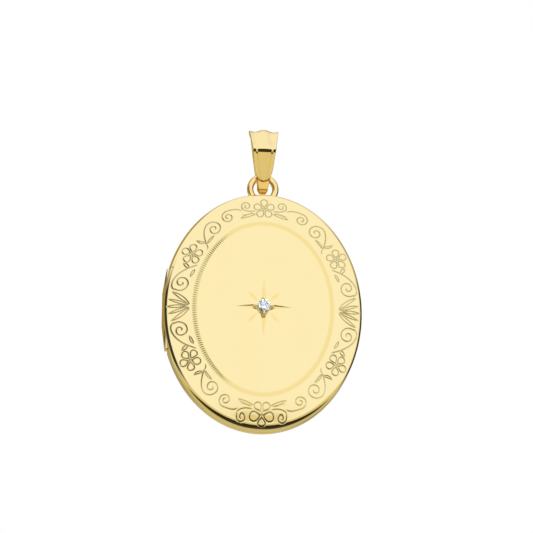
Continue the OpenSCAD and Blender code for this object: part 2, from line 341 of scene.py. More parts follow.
def rod(name, r, low, high, x=HINGE_X, y=SEAM_Y, cols=64, bevel=0.0, material=None):
    """A rod along Z, with heights counted from the centre of the body."""
    c, s = around(cols)
    rings = [(r, low), (r, high)]
    if bevel:
        rings = [(r - bevel, low), (r, low + bevel), (r, high - bevel), (r - bevel, high)]
    verts = np.concatenate([
        np.stack([x + q * c, y + q * s, np.full(cols, BODY_Z + z)], 1) for q, z in rings])
    faces = grid_faces(len(rings), cols)
    faces.append(cap(0, cols)[::-1])
    faces.append(cap((len(rings) - 1) * cols, cols))
    return make(name, verts, faces, material)


def box(corners_low, corners_high):
    """A cutter with eight corners: four (x, y, z) below and the four above them."""
    faces = [(0, 1, 2, 3), (7, 6, 5, 4), (0, 4, 5, 1), (1, 5, 6, 2), (2, 6, 7, 3), (3, 7, 4, 0)]
    obj = make("cutter", list(corners_low) + list(corners_high), faces)
    outward(obj)
    return obj


def torus(name, r_wire, cols=160, sides=40, material=None):
    """A ring of round wire at the jump ring's place."""
    t = np.linspace(0, 2 * math.pi, cols, endpoint=False)[:, None]
    q = np.linspace(0, 2 * math.pi, sides, endpoint=False)
    r = RING_R + r_wire * np.cos(q)
    xyz = np.broadcast_arrays(r * np.cos(t), r_wire * np.sin(q), BODY_Z + RING_Z + r * np.sin(t))
    obj = make(name, np.stack(xyz, -1).reshape(-1, 3), grid_faces(cols, sides, closed_rows=True), material)
    outward(obj)
    return obj


# ---- Engraving: curves of one quarter of the border, in millimetres from the centre --------

def bezier(p0, p1, p2, p3, n):
    """A curve of n points from p0 to p3."""
    t = np.linspace(0, 1, n)[:, None]
    p0, p1, p2, p3 = (np.array(p, float) for p in (p0, p1, p2, p3))
    return (1 - t) ** 3 * p0 + 3 * (1 - t) ** 2 * t * p1 + 3 * (1 - t) * t * t * p2 + t ** 3 * p3


def spiral(centre, r0, r1, start, turns):
    """From radius r0 at the start angle in to r1, in degrees; negative turns run clockwise."""
    t = np.linspace(0, 1, 120)
    a = np.radians(start + 360 * turns * t)
    r = r0 + (r1 - r0) * t ** 0.85
    return np.stack([centre[0] + r * np.cos(a), centre[1] + r * np.sin(a)], 1)


def direction(angle):
    """A step of 1 at an angle in degrees."""
    a = math.radians(angle)
    return np.array([math.cos(a), math.sin(a)])


def petal(centre, angle, length, width):
    """Outline of a petal with a narrow root and a round end."""
    root = 0.14
    widest = 0.66
    t = np.linspace(0, 1, 50)
    swell = np.sin(t / widest * math.pi / 2) ** 1.5
    round_end = np.sqrt(np.clip(1 - ((t - widest) / (1 - widest)) ** 2, 0, 1))
    side = np.where(t < widest, swell, round_end)
    along = root + (length - root) * t
    across = np.concatenate([side, -side[::-1]]) * width / 2
    along = np.concatenate([along, along[::-1]])
    return np.array(centre) + along[:, None] * direction(angle) + across[:, None] * direction(angle + 90)


def leaf(root, tip, width, bend):
    """Two edges that meet at both ends."""
    root = np.array(root, float)
    tip = np.array(tip, float)
    d = tip - root
    side = np.array([-d[1], d[0]]) / np.linalg.norm(d)
    mid = (root + tip) / 2 + side * bend
    out = []
    for k in (-1, 1):
        swing = side * k * width * 0.7
        out.append(bezier(root, mid - d * 0.2 + swing, mid + d * 0.15 + swing, tip, 36))
    return out


def flower(centre, angle):
    """Five petals, each with a short vein from the middle."""
    length = 1.27
    width = 0.82
    vein = np.linspace(0.0, 0.42, 14)[:, None]
    out = []
    for k in range(5):
        out.append(petal(centre, angle + 72 * k, length, width))
        out.append(np.array(centre) + direction(angle + 72 * k) * vein)
    return out


def quarter_curves():
    """(points, half width, depth) of every cut in the quarter with x and z positive."""
    cuts = []

    def cut(curves, half_width, depth=0.05):
        for c in curves if isinstance(curves, list) else [curves]:
            cuts.append((c, half_width, depth))

    cut(flower((0.0, 12.72), 90), 0.085)
    cut(np.concatenate([bezier((1.05, 12.42), (1.6, 12.3), (2.2, 12.3), (2.62, 12.6), 24),
                        spiral((2.13, 13.03), 0.66, 0.12, -42, 1.35)]), 0.085)
    cut(leaf((1.02, 12.0), (2.9, 11.3), 0.3, 0.1), 0.07)
    cut(bezier((1.3, 12.15), (1.8, 12.0), (2.3, 11.8), (2.75, 11.75), 24), 0.06, 0.035)
    cut(np.concatenate([bezier((2.7, 12.38), (3.3, 12.62), (4.0, 12.5), (4.55, 12.25), 30),
                        spiral((4.42, 11.42), 0.84, 0.13, 80, -1.6)]), 0.09)
    cut(np.concatenate([bezier((6.95, 7.75), (7.25, 8.5), (7.5, 9.6), (7.08, 10.35), 40),
                        spiral((6.12, 9.87), 1.07, 0.13, 27, 1.55)]), 0.09)
    cut(leaf((7.02, 8.1), (8.2, 8.45), 0.24, -0.2), 0.075)
    cut(leaf((6.92, 7.85), (6.02, 9.0), 0.2, -0.1), 0.075)
    cut(bezier((6.85, 7.1), (6.75, 7.35), (6.8, 7.6), (6.95, 7.8), 16), 0.07)
    cut(flower((8.68, 6.62), 99), 0.085)
    cut(leaf((9.08, 4.78), (9.72, 5.5), 0.34, 0.05), 0.08)
    cut(np.concatenate([bezier((8.0, 5.2), (9.2, 4.85), (10.5, 4.3), (11.02, 3.15), 46),
                        bezier((11.02, 3.15), (11.25, 2.6), (11.1, 2.25), (10.75, 2.08), 20),
                        spiral((9.98, 2.98), 1.1, 0.14, -47, -1.45)]), 0.09)
    cut(leaf((8.35, 4.65), (8.9, 3.65), 0.24, 0.06), 0.07)
    # half of the fan of five leaves at the side
    cut(leaf((9.3, 0.0), (11.62, 0.0), 0.3, 0.0), 0.07)
    cut(leaf((9.0, 0.1), (11.42, 0.92), 0.28, 0.04), 0.07)
    cut(leaf((8.9, 0.2), (11.05, 1.85), 0.36, 0.14), 0.07)
    return cuts


def cut_tree():
    """A tree that finds the nearest point of the cuts, and each point with its half width and depth."""
    spacing = 0.02
    run_out = 0.25
    points = []
    for c, half_width, depth in quarter_curves():
        run = np.concatenate([[0], np.cumsum(np.linalg.norm(np.diff(c, axis=0), axis=1))])
        q = np.linspace(0, run[-1], max(3, int(run[-1] / spacing)))
        x = np.interp(q, run, c[:, 0])
        z = np.interp(q, run, c[:, 1])
        ends = np.clip(np.minimum(q, run[-1] - q) / run_out, 0, 1) ** 0.7
        points += zip(x, z, half_width * (0.45 + 0.55 * ends), depth * (0.35 + 0.65 * ends))
    tree = KDTree(len(points))
    for i, p in enumerate(points):
        tree.insert((p[0], p[1], 0), i)
    tree.balance()
    return tree, np.array(points)


def ease(v, low, high):
    """0 below low, 1 above high and a soft slope between them."""
    t = np.clip((v - low) / (high - low), 0, 1)
    return t * t * (3 - 2 * t)


def in_lowest(x, z, high, low):
    """1 in the lowest flower and its scrolls, fading in between two distances below the centre."""
    return ease(-z, high, low) * ease(-np.abs(x), -4.4, -3)


def engraving_depth(x, z):
    """Depth of the hand-cut border at each point; the four quarters differ by a slight drift."""
    tree, points = cut_tree()
    drift = 0.26
    sway = 0.03
    x = x - drift * ease(x, 2, 8)
    xa = np.abs(x) + sway * np.sin(0.9 * z + 1.3 * np.sign(x)) * np.clip(np.abs(x) - 0.6, 0, 1)
    za = np.abs(z) + sway * np.sin(0.8 * x + 2.1 * np.sign(z)) * np.clip(np.abs(z) - 0.6, 0, 1)
    # the flower at the bottom is larger and sits nearer the rim
    xa -= 0.27 * ease(xa, 0, 2.1) * ease(-xa, -4.3, -2.9) * ease(-z, 11.8, 12.8)
    za -= 0.42 * ease(-z, 12.2, 13.6) * ease(-xa, -4.4, -3.0)
    out = np.zeros(len(x))
    for i, (px, pz) in enumerate(zip(xa.tolist(), za.tolist())):
        _, k, r = tree.find((px, pz, 0))
        w = points[k, 2]
        if r < w:
            out[i] = points[k, 3] * (1 - (r / w) ** 1.3)
    faint = 0.5 * ease(-z, 7, 10) * (1 - in_lowest(x, z, 12.8, 13.3))
    return out * (1 - faint)


def cut_tone(x, z):
    """How dark the painted shade in the cuts is: a little more on the left, and most in the lowest flower and
    scrolls.
    """
    return 0.56 + 0.08 * ease(-x, 0, 8) - 0.2 * ease(-z, 8, 11) + 0.6 * in_lowest(x, z, 12.7, 13.4)


def star_depth(x, z):
    """Four long rays and four leaf-shaped ones round the stone, each with two slopes."""
    depth = np.zeros(len(x))
    # angle, reach, half width and slope of one side; below 0 the slope is on the other side
    rays = [(0, 3.75, 0.32, 0.46), (90, 4.2, 0.38, 0.14), (180, 3.7, 0.32, -0.46), (270, 4.1, 0.34, -0.31)]
    rays += [(q, 2.75, 0.3, 0.1) for q in (45, 135, 225, 315)]
    for angle, reach, half, steep in rays:
        c, s = direction(angle)
        along = (x * c + z * s) / reach
        across = z * c - x * s
        if steep < 0:
            across = -across
        if angle % 90:
            w = half * ease(along, 0.1, 0.72) * np.sqrt(np.clip((1 - along) / 0.28, 0, 1))
        else:
            w = half * np.clip((1 - along) / 0.75, 0, 1) ** 0.85 * np.clip(along / 0.06, 0, 1)
        shallow = 0.2 if abs(steep) > 0.3 else 0.1
        depth = np.maximum(depth, np.minimum((w - across) * abs(steep), (w + across) * shallow))
    return depth


# ---- Covers -------------------------------------------------------------------------------

def shoulder(turn):
    """Shares of the shoulder's width and height where it has turned this far from the wall."""
    return (1 - math.cos(turn)) / (1 - math.cos(TURN)), math.sin(turn) / math.sin(TURN)


def cover_profile(band_rows, shoulder_rows):
    """Outer rows from the seam to the panel's edge: (inset, share of the way to the panel, height)."""
    rows = [(0.0, 0.0, SEAM_GAP), (0.0, 0.0, 0.3), (0.0, 0.0, 0.6)]
    for k in range(shoulder_rows + 1):
        w, h = shoulder(TURN * k / shoulder_rows)
        rows.append((SHOULDER_W * w, 0.0, WALL_H + (SHOULDER_TOP - WALL_H) * h))
    for k in range(1, band_rows + 1):
        t = k / band_rows
        rise = 0.85 * t + 0.15 * math.sin(math.pi / 2 * t)
        rows.append((SHOULDER_W, t, SHOULDER_TOP + (BAND_TOP - SHOULDER_TOP) * rise))
    return rows


def cover_rows(rows, cols):
    """Plan position and height of each row, with the wall cut back along the hinge."""
    c, s = around(cols)
    X = []
    Z = []
    for inset, share, _ in rows:
        X.append(((A - inset) * (1 - share) + PANEL_A * share) * c)
        Z.append(((B - inset) * (1 - share) + PANEL_B * share) * s)
    X = np.array(X)
    Z = np.array(Z)
    U = np.array([np.full(cols, u) for _, _, u in rows])
    rise = SHOULDER_TOP - WALL_H
    n_edge = next(i for i, r in enumerate(rows) if r[2] >= WALL_H + rise * 0.98)
    start = math.asin((NOTCH_U - WALL_H) * math.sin(TURN) / rise)
    hinge = (np.abs(B * s) < NOTCH_Z) & (c < 0)
    for k in range(n_edge):
        w, h = shoulder(start + (TURN - start) * k / n_edge)
        X[k, hinge] = (A - SHOULDER_W * w) * c[hinge]
        Z[k, hinge] = (B - SHOULDER_W * w) * s[hinge]
        U[k, hinge] = WALL_H + rise * h
    return X, Z, U


def inner_rows(cols, hole=0):
    """Inner side of a cover, from its middle back out to the seam."""
    c, s = around(cols)
    roof = BAND_TOP - SHEET
    foot = WALL_H - 0.05
    bends = 6
    plan = []
    if hole:
        plan.append((hole, hole, roof + DOME))
        plan += [(PANEL_A * r, PANEL_B * r, roof + DOME * (1 - r * r)) for r in (0.3, 0.6)]
    plan.append((PANEL_A, PANEL_B, roof))
    for k in range(bends, -1, -1):
        w, h = shoulder(TURN * k / bends)
        inset = WALL_IN + 0.55 * w
        plan.append((A - inset, B - inset, foot + (SHOULDER_TOP - SHEET - foot) * h))
    plan.append((A - WALL_IN, B - WALL_IN, SEAM_GAP))
    hinge = (np.abs((B - WALL_IN) * s) < NOTCH_Z) & (c < 0)
    # the rows that the notch lifts stay a little apart
    apart = 0.03 / (bends + 2)
    first = len(plan) - bends - 3
    X = np.array([ra * c for ra, _, _ in plan])
    Z = np.array([rb * s for _, rb, _ in plan])
    U = np.array([np.where(hinge & (u < NOTCH_U), NOTCH_U - apart * (k - first), u)
                  for k, (_, _, u) in enumerate(plan)])
    return X, Z, U


def two_to_one(fine, coarse, cols):
    """Faces between a row of cols points and a row of half as many."""
    i = np.arange(cols // 2)
    return np.stack([fine + 2 * i, fine + 2 * i + 1, fine + (2 * i + 2) % cols,
                     coarse + (i + 1) % (cols // 2), coarse + i], -1).tolist()


def channel_rows(cols):
    """Rows across the channel between the border and the panel."""
    c, s = around(cols)
    inset = CHANNEL_W * CHANNEL_SHARES[:, None]
    r = 1 - inset / ((PANEL_A + PANEL_B) / 2)
    u = BAND_TOP + DOME * (1 - r * r)
    return (PANEL_A - inset) * c, (PANEL_B - inset) * s, np.repeat(u, cols, axis=1)


def fine_cuts(cols):
    """The channel's fine cuts, strongest on the left: depth, dark painted shade in the cuts and warm painted
    shade on the channel away from the left.
    """
    tooth = np.abs((np.arange(cols) / cols * FINE_CUTS) % 1 - 0.5) * 2
    strong = ease(-around(cols)[0], 0.3, 0.75)
    reach = np.sin(math.pi * np.minimum(CHANNEL_SHARES + 0.06, 1))[:, None] ** 0.6
    depth = (0.01 + (0.012 + 0.04 * strong) * tooth) * reach
    # painted shade in the fine cuts, dark on the left only
    hatch_painted_shade = (0.08 + 0.02 * strong + (0.12 + 0.78 * strong) * tooth ** 2) * reach
    # warm painted shade over the channel where the cuts are faint
    channel_painted_shade = 0.5 * (1 - strong) * reach
    return depth, hatch_painted_shade, channel_painted_shade


def panel_rows(cols):
    """Rows of the domed panel from the channel in to the stone's hole, and the star's depth there."""
    c, s = around(cols)
    outer = np.linspace(0.985, 0.56, 12, endpoint=False)
    inner = np.linspace(0.56, 0.1, 34, endpoint=False)
    shares = np.concatenate([outer, inner])[:, None]
    x = np.concatenate([(PANEL_A - CHANNEL_W) * shares * c, [STONE_HOLE * c]])
    z = np.concatenate([(PANEL_B - CHANNEL_W) * shares * s, [STONE_HOLE * s]])
    star = star_depth(x.ravel(), z.ravel()).reshape(x.shape)
    return x, z, BAND_TOP + DOME * (1 - (x / PANEL_A) ** 2 - (z / PANEL_B) ** 2) - star, star


def sunk(X, Z, U, depth):
    """Each point moved in by its depth, along the surface's own normal."""
    slope = np.arctan2(np.gradient(U, axis=0), -np.gradient(np.hypot(X, Z), axis=0))
    steepest = np.hypot(X / A ** 2, Z / B ** 2)
    nx = X / A ** 2 / steepest
    nz = Z / B ** 2 / steepest
    aside = depth * np.sin(slope)
    return X - aside * nx, Z - aside * nz, U - depth * np.cos(slope)


def build_front():
    """Front cover: walls, engraved border, channel of fine cuts, star-cut panel and the inner side."""
    cols = 1920
    half = cols // 2
    profile = cover_profile(46, 12)
    n_band = len(profile)
    border = slice(6, n_band)      # from low on the shoulder to the channel
    X, Z, U = (np.concatenate(pair) for pair in zip(cover_rows(profile, cols), channel_rows(cols)))
    depth = np.zeros(X.shape)
    depth[border] = engraving_depth(X[border].ravel(), Z[border].ravel()).reshape(X[border].shape)
    # a cut has its full painted shade from 0.02 mm deep on, and a ray its full warm painted shade from 0.025
    # mm
    cut_painted_shade = np.clip(depth / 0.02, 0, 1) * cut_tone(X, Z)
    depth[n_band:], hatch_painted_shade, channel_painted_shade = fine_cuts(cols)
    X, Z, U = sunk(X, Z, U, depth)
    px, pz, pu, star = panel_rows(half)
    ix, iz, iu = inner_rows(half, STONE_HOLE)
    sheets = ((X, Z, U), (px, pz, pu), (ix, iz, iu))
    verts = np.concatenate([in_cover(*sheet, FRONT) for sheet in sheets])
    # the panel and the inner side have half as many columns
    panel = X.size
    inner = panel + px.size
    last = inner + ix.size - half
    i = np.arange(half)
    j = (i + 1) % half
    faces = grid_faces(len(X), cols) + two_to_one(panel - cols, panel, cols)
    faces += grid_faces(len(px), half, panel) + grid_faces(len(ix), half, inner)
    faces += np.stack([inner - half + i, inner - half + j, inner + j, inner + i], -1).tolist()
    faces += np.stack([last + i, last + j, (2 * i + 2) % cols, 2 * i + 1, 2 * i], -1).tolist()
    obj = make("front_cover_engraved", verts, faces, ENGRAVED, sharp=50)
    # warm painted shade on the star's rays, full where they are 0.025 mm deep
    rays = np.clip(star / 0.025, 0, 1) * 0.66
    mark(obj, "cut", 0, cut_painted_shade)
    mark(obj, "hatch_painted_shade", n_band * cols, hatch_painted_shade)
    # the ray mark carries warm painted shade, on the channel and on the star's rays
    mark(obj, "ray", n_band * cols, np.concatenate([channel_painted_shade.ravel(), rays.ravel()]))
    outward(obj)
    place(obj, "front", "front_cover")


def build_back():
    """Back cover: the same shell with a flat middle, and a seat for the jump ring."""
    cols = 720
    c, s = around(cols)
    shares = np.array([0.97, 0.6, 0.2])[:, None]
    middle = (PANEL_A * shares * c, PANEL_B * shares * s, np.full((len(shares), cols), BAND_TOP))
    outer = [np.concatenate(pair) for pair in zip(cover_rows(cover_profile(20, 12), cols), middle)]
    inner = inner_rows(cols)
    start = outer[0].size
    last = start + inner[0].size - cols
    i = np.arange(cols)
    j = (i + 1) % cols
    faces = grid_faces(len(outer[0]), cols) + grid_faces(len(inner[0]), cols, start)
    faces.append(cap(start - cols, cols))
    faces.append(cap(start, cols)[::-1])
    faces += np.stack([last + i, last + j, j, i], -1).tolist()
    verts = np.concatenate([in_cover(*outer, BACK), in_cover(*inner, BACK)])
    obj = make("back_cover_polished", verts, faces, POLISHED)
    outward(obj)
    carve(obj, [torus("cutter", WIRE_R + 0.02)])
    shade_smooth(obj, 35)
    place(obj, "back", "back_cover")


build_front()
build_back()


# ---- Bezels, frames, windows and cards ------------------------------------------------------

def build_bezel(side, body, node):
    """Inner rim with channels for the knuckles, the tongue's slot and, on the back cover, the ring's seat."""
    profile = [(WALL_IN + 0.02, 0.03), (WALL_IN + 0.02, 0.85), (0.72, 1.08), (2.45, 1.08),
               (2.45, 0.8), (1.8, 0.8), (1.8, 0.06), (1.77, 0.03)]
    cols = 288
    faces = grid_faces(len(profile), cols, closed_rows=True)
    obj = make(node + "_rim", oval_rows(profile, cols, side), faces, INNER_GOLD)
    outward(obj)
    snug = KNUCKLE_R + 0.02
    wide = KNUCKLE_R + 0.1
    end = HINGE_END + 0.08
    middle, outer = (snug, wide) if side == FRONT else (wide, snug)
    cutters = [rod("cutter", middle, -MIDDLE_END - KNUCKLE_GAP, MIDDLE_END + KNUCKLE_GAP),
               rod("cutter", outer, MIDDLE_END, end), rod("cutter", outer, -end, -MIDDLE_END)]
    room = 0.05 if side == FRONT else 0.02
    deep = 0.66 if side == FRONT else 0.52
    x0 = TONGUE_X - room
    x1 = TONGUE_X + TONGUE_T + room
    z1 = TONGUE_W / 2 + room
    plan = [(x0, -0.5), (x1, -0.5), (x1, deep), (x0, deep)]
    cutters.append(box(*[[(x, SEAM_Y - side * u, BODY_Z + z) for x, u in plan] for z in (-z1, z1)]))
    if side == FRONT:
        # groove that the tongue's bead drops into
        cutters.append(rod("cutter", 0.16, -1.1, 1.1, x=TONGUE_X + TONGUE_T, y=SEAM_Y - 0.36, cols=24))
    else:
        cutters.append(torus("cutter", WIRE_R + 0.02))
    carve(obj, cutters)
    shade_smooth(obj, 30)
    place(obj, body, node)


def build_frame(side, body, node):
    """Press-in frame with a rounded face that turns down to the window."""
    profile = [(1.83, 0.16), (1.83, 0.47), (2.75, 0.47), (2.75, 0.39)]
    for t in np.linspace(0, math.pi / 2, 9):
        profile.append((2.72 - 0.42 * math.sin(t), 0.37 - 0.25 * (1 - math.cos(t)) ** 0.8))
    profile += [(1.9, 0.12), (1.85, 0.13)]
    cols = 288
    faces = grid_faces(len(profile), cols, closed_rows=True)
    obj = make(node + "_ring", oval_rows(profile, cols, side), faces, INNER_GOLD)
    outward(obj)
    shade_smooth(obj, 35)
    place(obj, body, node)


def build_plate(name, inset, low, high, side, material, node):
    """Thin oval plate with eased edges, between two heights above the seam."""
    edge = 0.02
    cols = 288
    profile = [(inset + edge, low), (inset, low + edge), (inset, high - edge), (inset + edge, high)]
    faces = grid_faces(len(profile), cols)
    faces.append(cap(0, cols)[::-1])
    faces.append(cap(3 * cols, cols))
    obj = make(name, oval_rows(profile, cols, side), faces, material, sharp=30)
    outward(obj)
    place(obj, "front" if side == FRONT else "back", node)


for side, half in ((FRONT, "front"), (BACK, "back")):
    build_bezel(side, half, half + "_bezel")
    build_frame(side, half, half + "_photo_frame")
    build_plate(half + "_clear_window", 1.88, 0.48, 0.63, side, WINDOW, half + "_window")
    build_plate(half + "_card_insert", 1.9, 0.64, 0.79, side, CARD, half + "_photo_card")


# ---- Hinge ----------------------------------------------------------------------------------

def build_knuckle(name, low, high, out_low, out_high, body, node):
    """One barrel section with its outer side dressed flat, out_low and out_high from the pin's axis."""
    obj = rod(name, KNUCKLE_R, low, high, cols=96, bevel=0.04, material=HINGE_GOLD)
    outward(obj)
    bore = rod("cutter", PIN_R + 0.02, low - 1, high + 1, cols=48)
    outward(bore)
    side = [(-out_low, low), (-out_high, high), (-3, high + 1), (-3, low - 1)]
    dress = box(*[[(HINGE_X + x, SEAM_Y + y, BODY_Z + z) for x, z in side] for y in (-2, 2)])
    carve(obj, [bore, dress])
    shade_smooth(obj, 8)
    place(obj, body, node)


def build_hinge():
    """Three knuckles and their pin; the flat sides of the outer two taper toward the ends of the hinge."""
    split = MIDDLE_END + KNUCKLE_GAP
    for which, body, low, high, out_low, out_high in (
            ("middle", "front", -MIDDLE_END, MIDDLE_END, DRESSED, DRESSED),
            ("upper", "back", split, HINGE_END, DRESSED, DRESSED_END),
            ("lower", "back", -HINGE_END, -split, DRESSED_END, DRESSED)):
        build_knuckle("knuckle_" + which, low, high, out_low, out_high, body, "hinge_knuckle_" + which)
    end = HINGE_END + 0.02
    pin = rod("pin_of_hinge", PIN_R, -end, end, cols=48, bevel=0.04, material=HINGE_GOLD)
    outward(pin)
    place(pin, "back", "hinge_pin")


build_hinge()
# the catch's tongue keeps its CAD shape
tongue_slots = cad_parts["catch_tongue"].data.materials
for i in range(len(tongue_slots)):
    tongue_slots[i] = INNER_GOLD


# ---- Stone and its setting -------------------------------------------------------------------

def on_front(r, u, angle):
    """A point at a radius, height and angle round the stone's axis."""
    return (r * math.cos(angle), SEAM_Y - u, BODY_Z + r * math.sin(angle))


def build_stone():
    """Round brilliant: table, stars, kites, upper and lower halves and pavilion mains, all flat."""
    crown = 0.255
    pavilion = 0.731
    edge = 0.02
    r = STONE_R
    table = r * 0.56
    mid = r * 0.8
    low = r * 0.24
    step = math.pi / 8
    near = mid * math.cos(step)
    mid_h = crown + (edge - crown) * (near - table) / (r - table)
    low_h = -pavilion + (pavilion - edge) * low * math.cos(step) / r
    verts = []

    def ring(radius, height, count, first):
        start = len(verts)
        for k in range(count):
            verts.append(on_front(radius, GIRDLE_U + height, first + 2 * math.pi * k / count))
        return start

    t = ring(table, crown, 8, 0)
    m = ring(mid, mid_h, 8, step)
    g = ring(r, edge, 16, 0)
    h = ring(r, -edge, 16, 0)
    p = ring(low, low_h, 8, step)
    verts.append(on_front(0, GIRDLE_U - pavilion, 0))
    tip = len(verts) - 1
    faces = [[t + k for k in range(8)]]
    for k in range(8):
        j = (k + 1) % 8
        faces += [[t + k, m + k, t + j], [t + k, m + (k - 1) % 8, g + 2 * k, m + k],
                  [m + k, g + 2 * k, g + 2 * k + 1], [m + k, g + 2 * k + 1, g + 2 * j],
                  [p + k, h + 2 * k, h + 2 * k + 1], [p + k, h + 2 * k + 1, h + 2 * j],
                  [tip, p + (k - 1) % 8, h + 2 * k, p + k]]
    for k in range(16):
        j = (k + 1) % 16
        faces.append([g + k, h + k, h + j, g + j])
    obj = make("brilliant_stone", verts, faces, STONE, smooth=False)
    outward(obj)
    # some facets are darker, as if they mirrored the viewer
    dark = [0.9 if (k * k + k // 3) % 5 in (1, 2) else 0.0 for k in range(len(faces))]
    obj.data.attributes.new("shade", "FLOAT", "FACE").data.foreach_set("value", dark)
    place(obj, "front", "stone")


def build_collet():
    """Tapered ring under the stone: a closed loop of (radius, height) turned round the stone's axis."""
    foot = 2.88
    lip = GIRDLE_U - 0.065
    profile = [(STONE_R * 0.74, foot), (STONE_R * 0.98, foot), (STONE_R, foot + 0.1),
               (STONE_R, lip - 0.025), (STONE_R * 0.99, lip), (STONE_R * 0.965, lip)]
    cols = 160
    c, s = around(cols)
    verts = np.concatenate([in_cover(r * c, r * s, u, FRONT) for r, u in profile])
    obj = make("collet_ring", verts, grid_faces(len(profile), cols, closed_rows=True), CLAW_GOLD)
    outward(obj)
    place(obj, "front", "stone_collet")


def tube(points, radii):
    """Vertices and faces of a round wire through the points, closed at both ends."""
    sides = 20
    pts = [Vector(p) for p in points]
    verts = []
    side = Vector((1, 0.01, 0.3))
    for i, p in enumerate(pts):
        d = (pts[min(i + 1, len(pts) - 1)] - pts[max(i - 1, 0)]).normalized()
        side = (side - d * side.dot(d)).normalized()
        up = d.cross(side)
        for k in range(sides):
            a = 2 * math.pi * k / sides
            verts.append(p + (side * math.cos(a) + up * math.sin(a)) * radii[i])
    faces = grid_faces(len(pts), sides)
    faces.append(cap(0, sides)[::-1])
    faces.append(cap((len(pts) - 1) * sides, sides))
    return verts, faces


def build_claws():
    """Four tapered wires that lean in and bow over the stone's edge."""
    foot = np.array([STONE_R * 1.4, GIRDLE_U - 0.64])
    bow = np.array([STONE_R * 1.17, GIRDLE_U + 0.02])
    line = [foot + (bow - foot) * q for q in (0, 0.25, 0.5, 0.75, 1)]
    for q in (0.4, 0.8, 1.2, 1.57):
        line.append(bow + (STONE_R * 0.22 * (math.cos(q) - 1), 0.115 * math.sin(q)))
    line.append((STONE_R * 0.9, GIRDLE_U + 0.135))
    radii = [0.2, 0.19, 0.18, 0.17, 0.16, 0.15, 0.125, 0.1, 0.06, 0.012]
    verts = []
    faces = []
    for k in range(4):
        v, f = tube([on_front(r, u, math.pi / 2 * k) for r, u in line], radii)
        faces += [[i + len(verts) for i in face] for face in f]
        verts += v
    obj = make("claws_four", verts, faces, CLAW_GOLD, sharp=60)
    outward(obj)
    place(obj, "front", "stone_claws")


build_stone()
build_collet()
build_claws()


# ---- Jump ring and bail ----------------------------------------------------------------------

ring = torus("ring_of_wire", WIRE_R, 256, 56, WIRE_GOLD)
place(ring, "jump_ring", "jump_ring")

# The bail's strip, with places on its outer face as (y, z) from the centre of its round top
LOOP_Z = -6.35         # centre of the loop round the ring's wire
LOOP_R = 0.68
BAIL_R = 1.3
BAIL_T = 0.3           # thickness of the strip
CREASE = 0.14          # how far the front leg steps in under its bend
FRONT_TIP = np.array([-1.06, -5.63])
FRONT_BEND = np.array([-2.3, -1.85])
REAR_BEND = np.array([2.05, -2.1])
STRIP_END = -5.55


def polar(centre, r, angles):
    """Points on a circle, at angles in degrees."""
    a = np.radians(angles)
    return np.stack([centre[0] + r * np.cos(a), centre[1] + r * np.sin(a)], 1)


def rounded(p, q, r, d, n):
    """The corner at q between p and r, rounded off over d on each side."""
    p1 = q + (p - q) * d / np.linalg.norm(p - q)
    r1 = q + (r - q) * d / np.linalg.norm(r - q)
    t = np.linspace(0, 1, n)[:, None]
    return (p1 * (1 - t) + q * t) * (1 - t) + (q * (1 - t) + r1 * t) * t


def straight(p, q, n):
    """n points between p and q, without the two."""
    t = np.linspace(0, 1, n + 2)[1:-1, None]
    return p * (1 - t) + q * t


def bail_path():
    """Outer face of the strip from the side: tip, front leg, top, rear leg and loop, as (y, z)."""
    front_top, rear_top = polar((0, 0), BAIL_R, [160, 20])
    rear_foot = polar((0, LOOP_Z), LOOP_R, [-16])[0]
    leg = FRONT_TIP * 0.05 + FRONT_BEND * 0.95
    front = np.concatenate([[FRONT_TIP], straight(FRONT_TIP, leg, 90), [leg]])
    bend = rounded(FRONT_TIP, FRONT_BEND, front_top, 0.16, 21)
    top = polar((0, 0), BAIL_R, np.linspace(160, 20, 44))
    rear = rounded(rear_top, REAR_BEND, rear_foot, 0.38, 15)
    loop = polar((0, LOOP_Z), LOOP_R, np.linspace(-16, -180, 36))
    end = np.array([[-LOOP_R, LOOP_Z + (STRIP_END - LOOP_Z) * k / 4] for k in (1, 2, 3, 4)])
    parts = [front, bend, straight(bend[-1], top[0], 18), top, straight(top[-1], rear[0], 18), rear,
             straight(rear[-1], loop[0], 24), loop, end]
    first_loop = sum(len(q) for q in parts[:-2])
    return np.concatenate(parts), first_loop, len(front)


def bail_widths(path, first_loop, leg_rows):
    """Half width of the strip at each point of its path."""
    y, z = path.T
    front = np.interp(z, [-5.64, -4.9, -4.3, -1.85, 1.3], [0.85, 0.99, 1.12, 1.45, 1.81])
    rear = np.interp(z, [-5.5, -5, -2.1, -1.2, 0.6, 1.3], [0.66, 0.8, 1.1, 1.24, 1.52, 1.81])
    width = np.where(y < 0, front, rear)
    loop = np.interp(z, [-7.03, -6.8, -6.5, -6.1, -5.6], [0.34, 0.47, 0.6, 0.66, 0.76])
    width[first_loop:] = loop[first_loop:]
    run = np.linalg.norm(path - FRONT_TIP, axis=1) / np.linalg.norm(FRONT_BEND - FRONT_TIP)
    point = np.interp(run[:leg_rows], [0, 0.01, 0.03, 0.06, 0.1, 0.15, 0.24, 0.4],
                      [0.1, 0.32, 0.5, 0.66, 0.8, 0.9, 1.0, 2.0])
    width[:leg_rows] = np.minimum(width[:leg_rows], point)
    return width


def bail_shares():
    """Places across the strip, from edge to edge, closer together where the edges are rounded."""
    edge = np.linspace(-1, -0.86, 7)
    return np.concatenate([edge, np.linspace(-0.86, 0.86, 45)[1:-1], -edge[::-1]])


